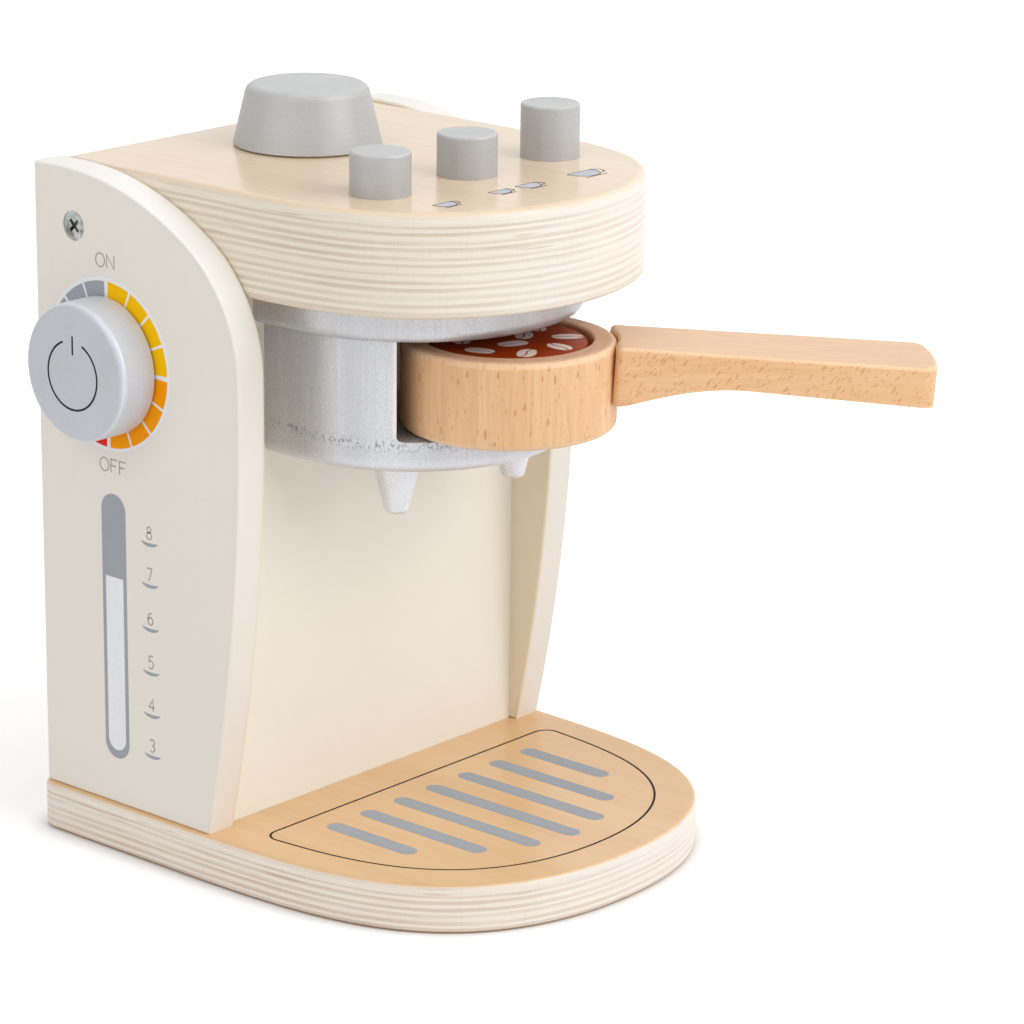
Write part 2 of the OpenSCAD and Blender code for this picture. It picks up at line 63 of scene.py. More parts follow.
# -------------------------------------------------- node graphs
class Graph:
    """A material and short calls that add its nodes."""

    def __init__(self, name):
        self.mat = bpy.data.materials.new(name)
        self.mat.use_nodes = True
        self.tree = self.mat.node_tree
        self.shader = self.tree.nodes["Principled BSDF"]
        self.coord = self.tree.nodes.new("ShaderNodeTexCoord").outputs["Object"]

    def put(self, socket, value):
        if isinstance(value, bpy.types.NodeSocket):
            self.tree.links.new(value, socket)
        elif isinstance(value, (tuple, list)) and len(value) == 3 and socket.type == "RGBA":
            socket.default_value = (*value, 1)
        else:
            socket.default_value = value

    def node(self, kind, inputs=(), **props):
        made = self.tree.nodes.new(kind)
        for key, value in props.items():
            setattr(made, key, value)
        for key, value in dict(inputs).items():
            self.put(made.inputs[key], value)
        return made

    def math(self, op, a, b=0.0, c=0.0, clamp=False):
        made = self.node("ShaderNodeMath", {0: a, 1: b, 2: c}, operation=op, use_clamp=clamp)
        return made.outputs[0]

    def times(self, first, *others):
        for other in others:
            first = self.math("MULTIPLY", first, other)
        return first

    def absolute(self, value):
        return self.math("ABSOLUTE", value)

    def normal(self, axis):
        return self.split(self.node("ShaderNodeNewGeometry").outputs["Normal"])[axis]

    def scale(self, x=1.0, y=1.0, z=1.0, turn=(0, 0, 0), shift=(0, 0, 0), vector=None):
        return self.node("ShaderNodeMapping", {
            "Vector": vector or self.coord, "Scale": (x, y, z), "Rotation": turn,
            "Location": shift}).outputs[0]

    def noise(self, vector, scale, detail=3.0, rough=0.5, distort=0.0):
        return self.node("ShaderNodeTexNoise", {
            "Vector": vector, "Scale": scale, "Detail": detail, "Roughness": rough,
            "Distortion": distort}).outputs["Fac"]

    def remap(self, value, low, high, out_low=0.0, out_high=1.0):
        return self.node("ShaderNodeMapRange", {
            "Value": value, "From Min": low, "From Max": high, "To Min": out_low,
            "To Max": out_high}).outputs["Result"]

    def mix(self, factor, a, b, blend="MIX"):
        made = self.node("ShaderNodeMix", data_type="RGBA", blend_type=blend)
        for socket, value in (("Factor_Float", factor), ("A_Color", a), ("B_Color", b)):
            self.put(next(s for s in made.inputs if s.identifier == socket), value)
        return next(s for s in made.outputs if s.identifier == "Result_Color")

    def split(self, vector):
        return self.node("ShaderNodeSeparateXYZ", {"Vector": vector}).outputs

    def bump(self, height, distance, strength=1.0, under=None):
        inputs = {"Height": height, "Distance": distance, "Strength": strength}
        if under:
            inputs["Normal"] = under
        return self.node("ShaderNodeBump", inputs).outputs["Normal"]

    def finish(self, colour, roughness, normal=None, **constants):
        self.put(self.shader.inputs["Base Color"], colour)
        self.put(self.shader.inputs["Roughness"], roughness)
        if normal:
            self.put(self.shader.inputs["Normal"], normal)
        for key, value in constants.items():
            self.shader.inputs[key.replace("_", " ")].default_value = value
        return self.mat


def srgb(r, g, b):
    return tuple(c / 12.92 if c <= 0.04045 else ((c + 0.055) / 1.055) ** 2.4
                 for c in (r / 255, g / 255, b / 255))


def shade(colour, by):
    return tuple(min(1, c * by) for c in colour)


# -------------------------------------------------- materials
def plywood(name, low, thick, layers, first, face, grain_face, pale, tan, seed, gloss, left_shade):
    """Laminated birch: veneers by height on the edges, and a face veneer with its grain along Y.

    low, thick and first are the board's underside, its thickness and its outer veneers, in metres.
    The edge's left end is painted yellower and darker by the last argument, a painted shade, and
    its bands fade to the right as a painted sheen.
    """
    g = Graph(name)
    x, y, z = g.split(g.coord)
    wave = g.noise(g.scale(11, 11, 30, shift=(seed, 0, 0)), 1.0, 2.0)
    ripple = g.noise(g.scale(60, 60, 160), 1.0, 2.0)
    per_m = layers / (thick - 2 * first)
    height = g.math("MULTIPLY_ADD", z, per_m, -(low + first) * per_m)
    height = g.math("ADD", height, g.math("MULTIPLY_ADD", wave, 0.6, -0.3))
    height = g.math("ADD", height, g.math("MULTIPLY_ADD", ripple, 0.3, -0.15))
    height = g.math("MINIMUM", g.math("MAXIMUM", height, 0.0), layers - 0.01)
    pair = g.times(height, 0.5)
    chance = g.node("ShaderNodeTexWhiteNoise", {"W": g.math("ADD", g.math("FLOOR", pair), seed)},
                    noise_dimensions="1D").outputs["Value"]
    across = g.absolute(g.math("MULTIPLY_ADD", g.math("FRACT", pair), 2.0, -1.0))
    band = g.remap(g.math("ADD", across, g.math("MULTIPLY_ADD", chance, 0.3, -0.15)), 0.40, 0.66)
    patches = g.noise(g.scale(16, 16, 300, shift=(0, seed, 0)), 1.0, 3.0, 0.6)
    # The bands are deepest at the left end and fade to the right: a painted sheen of light along
    # the edge.
    depth = g.times(g.remap(patches, 0.28, 0.62, 0.10, 1.0), g.remap(chance, 0.0, 1.0, 0.45, 1.0),
                    g.remap(x, -0.058, 0.005, 0.9, 0.55))
    edge = g.mix(g.times(band, depth), pale, tan)
    # Painted shade: the edge is made yellower and darker towards its left end.
    edge = g.mix(g.remap(x, -0.015, -0.055, 0.0, left_shade), edge, (0.97, 0.94, 0.86), "MULTIPLY")
    streaks = g.noise(g.scale(45, 45, 1900), 1.0, 4.0, 0.62)
    edge = g.mix(g.remap(streaks, 0.42, 0.78, 0.0, 0.35), edge, tan)
    fibre = g.noise(g.scale(1500, 1500, 160), 1.0, 2.0, 0.6)
    edge = g.mix(g.remap(fibre, 0.5, 0.8, 0.0, 0.07), edge, shade(tan, 0.6))
    dark = g.noise(g.scale(30, 30, 700, shift=(5 + seed, 2, 1)), 1.0, 2.0, 0.5)
    edge = g.mix(g.remap(dark, 0.66, 0.74, 0.0, 0.42), edge, srgb(176, 142, 112))
    knots = g.noise(g.scale(75, 75, 430, shift=(3 + seed, 1, 2)), 1.0, 1.0, 0.4)
    edge = g.mix(g.remap(knots, 0.775, 0.80, 0.0, 0.8), edge, srgb(198, 128, 66))

    figure = g.noise(g.scale(20, 2.6, 20, shift=(seed, seed, 0)), 1.0, 3.0, 0.55, 0.4)
    lines = g.noise(g.scale(300, 9, 300), 1.0, 4.0, 0.65)
    fine = g.noise(g.scale(1900, 90, 1900), 1.0, 2.0, 0.6)
    top = g.mix(g.remap(figure, 0.30, 0.72), face, grain_face)
    top = g.mix(g.remap(lines, 0.45, 0.75, 0.0, 0.30), top, shade(grain_face, 0.84))
    top = g.mix(g.remap(fine, 0.55, 0.8, 0.0, 0.16), top, shade(grain_face, 0.66))

    up = g.absolute(g.normal(2))
    flat = g.remap(up, 0.45, 0.85)
    colour = g.mix(flat, edge, top)
    relief = g.math("ADD", g.times(streaks, g.math("SUBTRACT", 1.0, flat)),
                    g.times(lines, 0.35))
    rough = g.remap(flat, 0.0, 1.0, 0.60, gloss)
    return g.finish(colour, rough, g.bump(relief, 0.00006, 0.4), Coat_Weight=0.35,
                    Coat_Roughness=0.12, Specular_IOR_Level=0.4)


def cream_paint(name, colour, inner=0.0):
    """Matt paint, sprayed on sanded wood: a faint grain, brush dust and slow changes of tone.

    Upward faces are painted whiter, a painted top light. inner is how much yellower and darker the
    panels' inner faces are painted, a painted shade with a yellow bounce.
    """
    g = Graph(name)
    slow = g.noise(g.scale(9, 9, 9), 1.0, 3.0, 0.5)
    grain = g.noise(g.scale(420, 420, 16), 1.0, 3.0, 0.6)
    peel = g.noise(g.scale(1100, 1100, 1100), 1.0, 2.0, 0.5)
    dust = g.noise(g.scale(2600, 2600, 2600), 1.0, 1.0, 0.4)
    paint = g.mix(g.remap(slow, 0.3, 0.7), shade(colour, 0.97), colour)
    paint = g.mix(g.remap(grain, 0.55, 0.8, 0.0, 0.08), paint, shade(colour, 0.86))
    paint = g.mix(g.remap(dust, 0.74, 0.8, 0.0, 0.18), paint, shade(colour, 0.75))
    # Painted top light: faces that look up are mixed towards white.
    up = g.normal(2)
    paint = g.mix(g.remap(up, 0.1, 0.6, 0.0, 0.75), paint, srgb(249, 247, 243))
    # Painted shade: the panels' inner faces, facing each other, are made yellower and darker by
    # inner.
    x = g.absolute(g.split(g.coord)[0])
    paint = g.mix(g.remap(x, 0.0644, 0.0634, 0.0, inner), paint, srgb(232, 218, 186))
    relief = g.math("ADD", g.times(grain, 0.5), g.times(peel, 0.6))
    rough = g.remap(slow, 0.3, 0.7, 0.46, 0.56)
    return g.finish(paint, rough, g.bump(relief, 0.00004, 0.4), Specular_IOR_Level=0.35)


def silver_paint(name, colour, metallic, speck, roughness, strokes, face_axis=2, face=1.0, rest=1.0,
                 cast=False):
    """Metallic paint over wood: fine flakes, strokes along one axis, and a painted shade by how
    faces lie: faces across one axis and all the others are darkened by their own factors.

    cast adds what the group shows: cloudy streaks, a pitted seam and the worn edge of its pocket,
    and painted light: a warm, lighter left side as painted bounce from the panel, and a painted
    highlight low on the flange.
    """
    g = Graph(name)
    flakes = g.noise(g.scale(2400, 2400, 2400), 1.0, 2.0, 0.65)
    lines = g.noise(g.scale(*strokes), 1.0, 3.0, 0.6)
    cloud = g.noise(g.scale(40, 40, 40), 1.0, 3.0, 0.5)
    paint = g.mix(g.remap(cloud, 0.3, 0.7), shade(colour, 0.92), colour)
    stroke = 0.45 if cast else 0.22
    paint = g.mix(g.remap(lines, 0.35, 0.70, 0.0, stroke), paint, shade(colour, 0.78))
    paint = g.mix(g.remap(flakes, 0.50, 0.75, 0.0, speck), paint, shade(colour, 1.3))
    paint = g.mix(g.remap(flakes, 0.50, 0.28, 0.0, speck), paint, shade(colour, 0.66))
    # Painted shade: faces across the chosen axis and all other faces are darkened by their own
    # factors, as light falls on them.
    along = g.absolute(g.normal(face_axis))
    tone = g.mix(g.remap(along, 0.6, 0.9), (rest, rest, rest), (face, face, face))
    paint = g.mix(1.0, paint, tone, "MULTIPLY")
    relief = g.math("ADD", g.times(flakes, 0.4), lines)
    if cast:
        x, y, z = g.split(g.coord)
        drift = g.noise(g.scale(90, 90, 9, shift=(1, 2, 3)), 1.0, 2.0, 0.5)
        paint = g.mix(g.remap(drift, 0.35, 0.65, 0.0, 0.5), paint, shade(colour, 0.72))
        # Painted light: the left side, facing the panel, is made lighter and warmer, a painted
        # bounce from the cream panel.
        paint = g.mix(g.remap(x, -0.050, -0.0565, 0.0, 0.45), paint, srgb(236, 230, 206))
        # Painted highlight: the lowest part of the flange is made lighter and bluer.
        paint = g.mix(g.remap(z, 0.1285, 0.1235, 0.0, 0.6), paint, srgb(238, 240, 247))
        grit = g.noise(g.scale(1300, 1300, 900), 1.0, 2.0, 0.6)
        worn = g.noise(g.scale(28, 28, 120), 1.0, 2.0, 0.5)
        sway = g.noise(g.scale(35, 35, 35, shift=(2, 1, 0)), 1.0, 2.0)
        level = g.math("SUBTRACT", z, g.math("MULTIPLY_ADD", sway, 0.005, SEAM_Z * MM))
        seam = g.remap(g.absolute(level), 0.0026, 0.0004)
        pit = g.times(g.remap(grit, 0.52, 0.60), seam, g.remap(worn, 0.38, 0.52))
        paint = g.mix(g.times(pit, 0.75), paint, shade(colour, 0.30))
        off = g.absolute(g.math("SUBTRACT", g.absolute(x), POCKET_X * MM))
        rim = g.times(g.remap(off, 0.0007, 0.0004), g.remap(y, -0.0202, -0.0206),
                      g.remap(z, 0.134, 0.136), g.remap(z, 0.1632, 0.1628))
        paint = g.mix(g.times(rim, 0.8), paint, srgb(238, 222, 214))
        relief = g.math("SUBTRACT", relief, pit)
    rough = g.remap(lines, 0.3, 0.7, roughness - 0.05, roughness + 0.07)
    return g.finish(paint, rough, g.bump(relief, 0.00008, 0.35), Metallic=metallic,
                    Specular_IOR_Level=0.45)


def fleck_layer(g, vector, axis, across, along, low, high, strength):
    """Short dashes in random places, one to a cell that is long on one axis."""
    sizes = [1 / across] * 3
    sizes[axis] = 1 / along
    cells = g.node("ShaderNodeTexVoronoi", {"Vector": g.scale(*sizes, vector=vector), "Scale": 1.0,
                                            "Randomness": 1.0}, feature="F1")
    chance = g.split(cells.outputs["Color"])[0]
    reach = g.remap(chance, 0.0, 1.0, low, high)
    edge = g.math("SUBTRACT", reach, cells.outputs["Distance"])
    return g.times(g.remap(edge, 0.0, 0.06), strength)


def beech(name, along, light, dark, top_tone, seed, rays, small, turn=(0, 0, 0), slant=None):
    """Oiled beech: soft bands along the grain's axis, the short brown flecks of its rays, and a
    painted highlight with a light worn line along the rounded edges.

    rays and small give the flecks' width, length, range of reach and strength.
    """
    g = Graph(name)
    base = g.scale(1, 1, 1, turn=turn)
    axis = "xyz".index(along)
    stretch = [1.0, 1.0, 1.0]
    stretch[axis] = 0.05
    grain = g.scale(*stretch, shift=(seed, seed * 2, seed * 3), vector=base)
    bands = g.noise(grain, 90, 3.0, 0.55, 0.4)
    streaks = g.noise(grain, 420, 3.0, 0.6, 0.3)
    fibres = g.noise(grain, 2300, 2.0, 0.6)
    between = tuple(a * 0.6 + b * 0.4 for a, b in zip(light, dark))
    tone = g.mix(g.remap(bands, 0.3, 0.7), light, between)
    tone = g.mix(g.remap(streaks, 0.42, 0.70, 0.0, 0.45), tone, dark)
    tone = g.mix(g.remap(fibres, 0.45, 0.72, 0.0, 0.30), tone, shade(dark, 0.82))
    up = g.absolute(g.normal(2))
    flat = g.remap(up, 0.75, 0.95)
    lie = g.scale(1, 1, 1, turn=slant, vector=base) if slant else base
    marks = fleck_layer(g, lie, axis, *rays)
    shifted = g.scale(1, 1, 1, shift=(0.4, 0.3, 0.2), vector=lie)
    marks = g.math("MAXIMUM", marks, fleck_layer(g, shifted, axis, *small))
    marks = g.times(marks, g.math("MULTIPLY_ADD", flat, -0.85, 1.0))
    tone = g.mix(flat, tone, g.mix(0.6, tone, top_tone))
    lines = g.remap(g.noise(grain, 700, 3.0, 0.6, 0.3), 0.46, 0.64, 0.0, 0.5)
    tone = g.mix(g.times(flat, lines), tone, shade(top_tone, 0.84))
    tone = g.mix(marks, tone, srgb(192, 116, 54))
    # Painted highlight, with some light wear: edges between top and sides are mixed towards a pale
    # tone.
    edge = g.times(g.remap(up, 0.15, 0.45), g.remap(up, 0.95, 0.80))
    tone = g.mix(g.times(edge, 0.38), tone, srgb(252, 224, 192))
    relief = g.math("SUBTRACT", g.math("ADD", g.times(fibres, 0.5), streaks),
                    g.times(marks, 0.8))
    rough = g.remap(bands, 0.3, 0.7, 0.46, 0.56)
    return g.finish(tone, rough, g.bump(relief, 0.00010, 0.5), Specular_IOR_Level=0.35,
                    Coat_Weight=0.05, Coat_Roughness=0.3)


def print_ink(name, colour, roughness=0.6):
    """Screen-printed ink with a slightly uneven film."""
    g = Graph(name)
    film = g.noise(g.scale(700, 700, 700), 1.0, 3.0, 0.6)
    slow = g.noise(g.scale(60, 60, 60), 1.0, 2.0)
    ink = g.mix(g.remap(film, 0.35, 0.75, 0.0, 0.35), colour, shade(colour, 0.84))
    ink = g.mix(g.remap(slow, 0.3, 0.7, 0.0, 0.2), ink, shade(colour, 1.1))
    return g.finish(ink, g.remap(film, 0.3, 0.7, roughness, roughness + 0.1),
                    g.bump(film, 0.00002, 0.4), Specular_IOR_Level=0.1)


def pad_lacquer(name):
    """Brown satin print with the wood's grain faintly through it."""
    g = Graph(name)
    slow = g.noise(g.scale(70, 70, 70), 1.0, 3.0)
    grain = g.noise(g.scale(60, 900, 60), 1.0, 3.0, 0.6)
    speck = g.noise(g.scale(1500, 1500, 1500), 1.0, 2.0)
    tone = g.mix(g.remap(slow, 0.3, 0.7), srgb(150, 51, 5), srgb(166, 62, 9))
    tone = g.mix(g.remap(grain, 0.5, 0.8, 0.0, 0.25), tone, srgb(112, 38, 10))
    tone = g.mix(g.remap(speck, 0.6, 0.8, 0.0, 0.2), tone, srgb(172, 80, 30))
    return g.finish(tone, g.remap(slow, 0.3, 0.7, 0.34, 0.42), g.bump(grain, 0.00003, 0.4),
                    Specular_IOR_Level=0.10)


def zinc(name):
    """Zinc-plated steel with brown stains in its hollows."""
    g = Graph(name)
    swirl = g.noise(g.scale(900, 900, 900), 1.0, 3.0, 0.6)
    stain = g.noise(g.scale(420, 420, 420), 1.0, 3.0)
    tone = g.mix(g.remap(stain, 0.35, 0.7), srgb(182, 186, 182), srgb(120, 122, 118))
    tone = g.mix(g.remap(stain, 0.60, 0.72, 0.0, 0.35), tone, srgb(112, 86, 66))
    tone = g.mix(g.remap(swirl, 0.6, 0.8, 0.0, 0.5), tone, srgb(74, 66, 60))
    return g.finish(tone, g.remap(swirl, 0.3, 0.7, 0.20, 0.36), g.bump(swirl, 0.00008, 0.5),
                    Metallic=0.9)


def floor_white(name):
    """White paper: the camera and reflections see it lifted to white, less so near the part; an
    occlusion mask takes the lift away at the contacts, a painted contact shadow, and the real
    shadow stays.
    """
    g = Graph(name)
    fibres = g.noise(g.coord, 900, 2.0)
    tone = g.mix(fibres, (0.80, 0.80, 0.80), (0.82, 0.82, 0.82))
    ways = g.node("ShaderNodeLightPath").outputs
    seen = g.math("ADD", g.math("ADD", ways["Is Camera Ray"], ways["Is Glossy Ray"]),
                  ways["Is Transmission Ray"], clamp=True)
    away = g.node("ShaderNodeVectorMath", {0: g.coord}, operation="LENGTH").outputs["Value"]
    lift = g.math("ADD", g.remap(away, 0.12, 0.30, 0.38, 0.50),
                  g.remap(away, 0.6, 1.6, 0.0, 0.07))
    # Painted contact shadow: an occlusion mask takes the lift away where the floor meets the part.
    contact_shade = g.node("ShaderNodeAmbientOcclusion", {"Distance": 0.009}, samples=8).outputs["AO"]
    lift = g.times(lift, g.remap(contact_shade, 0.45, 0.95, 0.0, 1.0))
    g.finish(tone, 0.9, Specular_IOR_Level=0.0, Emission_Color=(1, 1, 1, 1))
    g.put(g.shader.inputs["Emission Strength"], g.times(seen, lift))
    return g.mat


M = {
    "head_ply": plywood("head_ply", 0.1742, 0.0298, 24, 0.0016, srgb(238, 216, 187),
                        srgb(231, 202, 167), srgb(237, 230, 218), srgb(202, 184, 164),
                        seed=7.0, gloss=0.26, left_shade=0.6),
    "base_ply": plywood("base_ply", 0.0, 0.0145, 12, 0.0010, srgb(229, 192, 145),
                        srgb(220, 174, 120), srgb(241, 233, 222), srgb(206, 184, 165),
                        seed=13.0, gloss=0.34, left_shade=0.2),
    # The panels' cream, with a painted yellow shade on their inner faces.
    "cream": cream_paint("cream_coat", srgb(236, 229, 219), 0.6),
    # The wall takes the panels' cream made lighter: painted light for the wall in the shade of the
    # head.
    "cream_wall_lit": cream_paint("cream_wall_coat", srgb(243, 239, 227)),
    # Buttons and top knob: sides painted darker than the tops, a painted shade.
    "silver": silver_paint("silver_coat", srgb(203, 203, 203), 0.28, 0.16, 0.46,
                           (60, 60, 1400), rest=0.82),
    "silver_cast": silver_paint("silver_rough_coat", srgb(211, 212, 216), 0.5, 0.6, 0.42,
                                (1300, 1300, 45), cast=True),
    "silver_spout": silver_paint("silver_spout_coat", srgb(231, 232, 236), 0.45, 0.5, 0.42,
                                 (1300, 1300, 45)),
    # Power knob: its flat face painted darker than its rim, a painted shade.
    "silver_blue": silver_paint("silver_knob_coat", srgb(220, 223, 230), 0.3, 0.16, 0.42,
                                (1400, 60, 60), face_axis=0, face=0.74),
    "ring_beech": beech("ring_beech", "z", srgb(238, 196, 153), srgb(218, 164, 114),
                        srgb(206, 170, 145), 3.0, (0.0018, 0.0064, 0.04, 0.29, 0.55),
                        (0.0011, 0.0036, 0.05, 0.30, 0.38)),
    "handle_beech": beech("handle_beech", "x", srgb(241, 201, 156), srgb(224, 169, 117),
                          srgb(232, 200, 172), 11.0, (0.0012, 0.0040, 0.12, 0.33, 0.46),
                          (0.0009, 0.0026, 0.14, 0.38, 0.38),
                          turn=(0, 0, math.pi / 2 - HANDLE_TURN), slant=(0, math.radians(50), 0)),
    "dowel_beech": beech("dowel_beech", "z", srgb(230, 190, 145), srgb(200, 145, 96),
                         srgb(210, 170, 130), 19.0, (0.0016, 0.0050, 0.0, 0.25, 0.40),
                         (0.0010, 0.0030, 0.0, 0.25, 0.30)),
    "pad": pad_lacquer("pad_lacquer"),
    "zinc": zinc("zinc_plate"),
    "ink_grey": print_ink("ink_grey", srgb(163, 167, 173)),
    "ink_line": print_ink("ink_line", srgb(172, 166, 156)),
    "ink_dark": print_ink("ink_dark", srgb(46, 42, 42)),
    "ink_white": print_ink("ink_white", srgb(238, 238, 241)),
    "ink_bean": print_ink("ink_bean", srgb(234, 222, 218)),
    "ink_yellow": print_ink("ink_yellow", srgb(252, 194, 0)),
    "ink_orange": print_ink("ink_orange", srgb(254, 158, 0)),
    "ink_red": print_ink("ink_red", srgb(232, 50, 40)),
    "ink_cup": print_ink("ink_cup", srgb(198, 202, 210)),
}


# -------------------------------------------------- mesh helpers
SMOOTH_BELOW = math.radians(40)
WELD = 2e-6


def give(obj, material):
    obj.data.materials.clear()
    obj.data.materials.append(M[material])
    for face in obj.data.polygons:
        face.material_index = 0
    return obj


def new_object(name, mesh_maker):
    mesh = bpy.data.meshes.new(name)
    bm = bmesh.new()
    mesh_maker(bm)
    bm.to_mesh(mesh)
    bm.free()
    obj = bpy.data.objects.new(name, mesh)
    bpy.context.scene.collection.objects.link(obj)
    return obj


def smooth_copy(name, node, body, material):
    """A CAD node's own shape, with its facets welded and shaded as the round surfaces they are."""
    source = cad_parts[node]

    def make(bm):
        bm.from_mesh(source.data)
        bmesh.ops.remove_doubles(bm, verts=bm.verts, dist=WELD)
        for edge in bm.edges:
            turn = edge.calc_face_angle(0.0) if len(edge.link_faces) == 2 else math.pi
            edge.smooth = turn < SMOOTH_BELOW
        for face in bm.faces:
            face.smooth = True

    obj = new_object(name, make)
    weights = obj.modifiers.new("weights", "WEIGHTED_NORMAL")
    weights.keep_sharp = True
    weights.weight = 90
    give(obj, material)
    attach(obj, body)
    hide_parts(node)
    return obj


# -------------------------------------------------- flat prints
class Sheet:
    """A plane on the object: (u, v) in millimetres, and n out of the surface."""

    def __init__(self, origin, u, v):
        self.origin, self.u, self.v = Vector(origin) * MM, Vector(u), Vector(v)
        self.n = self.u.cross(self.v)

    def at(self, u, v, out):
        return self.origin + (self.u * u + self.v * v + self.n * out) * MM


def ribbon(points, width, closed=False):
    """A line of even width through the points, as quads."""
    pts = [Vector(p) for p in points]
    n = len(pts)
    rails = []
    for k, p in enumerate(pts):
        ways = []
        if k or closed:
            ways.append((p - pts[k - 1]).normalized())
        if k < n - 1 or closed:
            ways.append((pts[(k + 1) % n] - p).normalized())
        sides = [Vector((-w.y, w.x)) for w in ways]
        side = sum(sides, Vector((0, 0)))
        side *= 1 / max(0.3, side.length_squared / len(sides))
        rails.append((p + side * width / 2, p - side * width / 2))
    verts = [q for pair in rails for q in pair]
    count = n if closed else n - 1
    faces = [(2 * k, 2 * k + 1, 2 * ((k + 1) % n) + 1, 2 * ((k + 1) % n)) for k in range(count)]
    return verts, faces


def area(points):
    return [Vector(p) for p in points], [tuple(range(len(points)))]


def arc(cx, cy, r, a0, a1, steps, ry=None):
    """Points on a circle, or on an ellipse where ry is given, between two angles in degrees."""
    angles = [math.radians(a0 + (a1 - a0) * k / steps) for k in range(steps + 1)]
    return [(cx + r * math.cos(a), cy + (ry or r) * math.sin(a)) for a in angles]


def round_bar(u, half, low, high, steps):
    """A bar along v with round ends."""
    return area(arc(u, high - half, half, 0, 180, steps)
                + arc(u, low + half, half, 180, 360, steps))


def sector(r0, r1, a0, a1):
    steps = max(4, int(abs(a1 - a0) / 3))
    outer = arc(0, 0, r1, a0, a1, steps)
    inner = arc(0, 0, r0, a0, a1, steps)
    verts = [Vector(p) for pair in zip(outer, inner) for p in pair]
    return verts, [(2 * k, 2 * k + 1, 2 * k + 3, 2 * k + 2) for k in range(steps)]


def printed(name, body, material, sheet, patches, height=FILM):
    """Thin closed film on a surface, made of flat patches."""
    sunk = 0.02

    def make(bm):
        for verts, faces in patches:
            low = [bm.verts.new(sheet.at(v.x, v.y, -sunk)) for v in verts]
            made = []
            for face in faces:
                made.append(bm.faces.new([low[k] for k in face]))
            rise = bmesh.ops.extrude_face_region(bm, geom=made)
            moved = [v for v in rise["geom"] if isinstance(v, bmesh.types.BMVert)]
            bmesh.ops.translate(bm, verts=moved, vec=sheet.n * (height + sunk) * MM)
        bmesh.ops.recalc_face_normals(bm, faces=bm.faces)

    obj = new_object(name, make)
    give(obj, material)
    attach(obj, body)
    return obj


# Strokes of the few signs that are used, in a box one unit high
GLYPHS = {
    "O": (0.86, [(arc(0.43, 0.5, 0.40, 0, 360, 40, 0.5)[:-1], True)]),
    "N": (0.72, [([(0, 0), (0, 1), (0.66, 0), (0.66, 1)], False)]),
    "F": (0.62, [([(0, 0), (0, 1), (0.56, 1)], False), ([(0, 0.52), (0.46, 0.52)], False)]),
    "3": (0.56, [([(0.04, 0.84)] + arc(0.27, 0.75, 0.22, 130, -80, 14, 0.25)
                 + arc(0.26, 0.26, 0.25, 88, -140, 16, 0.26), False)]),
    "4": (0.56, [([(0.42, 0), (0.42, 1), (0, 0.30), (0.56, 0.30)], False)]),
    "5": (0.56, [([(0.5, 1), (0.1, 1), (0.06, 0.55)]
                  + arc(0.26, 0.31, 0.26, 120, -140, 18, 0.31), False)]),
    "6": (0.56, [([(0.44, 0.93)] + arc(0.42, 0.45, 0.40, 110, 180, 8, 0.52)
                 + arc(0.28, 0.30, 0.26, 180, 520, 24, 0.30), False)]),
    "7": (0.56, [([(0, 1), (0.52, 1), (0.18, 0)], False)]),
    "8": (0.56, [(arc(0.27, 0.76, 0.21, 0, 360, 24, 0.23)[:-1], True),
                 (arc(0.27, 0.27, 0.26, 0, 360, 24, 0.27)[:-1], True)]),
}


def words(text, u, v, height, stroke, spread=1.0, gap=0.16):
    """Ribbons for a short text whose lower left corner is at (u, v)."""
    patches = []
    for sign in text:
        wide, strokes = GLYPHS[sign]
        for points, closed in strokes:
            patches.append(ribbon([(u + x * height * spread, v + y * height) for x, y in points],
                                  stroke, closed))
        u += (wide + gap) * height * spread
    return patches


# -------------------------------------------------- the CAD nodes' finishes
for plate, node, body, material, slot in (
        ("base_wood", "base_plate", "machine", "base_ply", "birch"),
        ("left_side", "side_panel_left", "machine", "cream", "cream_paint"),
        ("right_side", "side_panel_right", "machine", "cream", "cream_paint"),
        ("head_wood", "head_block", "machine", "head_ply", "birch"),
        ("handle_wood", "portafilter_handle", "portafilter", "handle_beech", "beech")):
    smooth_copy(plate, node, body, material)

# The buttons' springs, each a welded copy with a mesh of its own
for place in ("left", "middle", "right"):
    spring = smooth_copy("coil_" + place, "button_spring_" + place, "machine", "zinc")
    low = min(v.co.z for v in spring.data.vertices)
    high = max(v.co.z for v in spring.data.vertices)
    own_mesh(spring)

FINISH = {
    "cream_wall_lit": ["front_wall"],
    "silver_cast": ["group_flange", "group_collar"],
    "silver_spout": ["spout_left", "spout_right"],
    "silver": ["button_left", "button_middle", "button_right", "top_knob"],
    "silver_blue": ["power_knob"],
    "ring_beech": ["portafilter_ring"],
    "dowel_beech": ["handle_dowel", "head_dowels", "wall_dowels", "collar_dowels"],
    "pad": ["coffee_pad"],
    "zinc": ["button_screw_left", "button_screw_middle", "button_screw_right", "top_knob_screw",
             "power_knob_screw", "head_screws", "base_screws", "group_screws"],
}
for material, nodes in FINISH.items():
    for node in nodes:
        give(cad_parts[node], material)

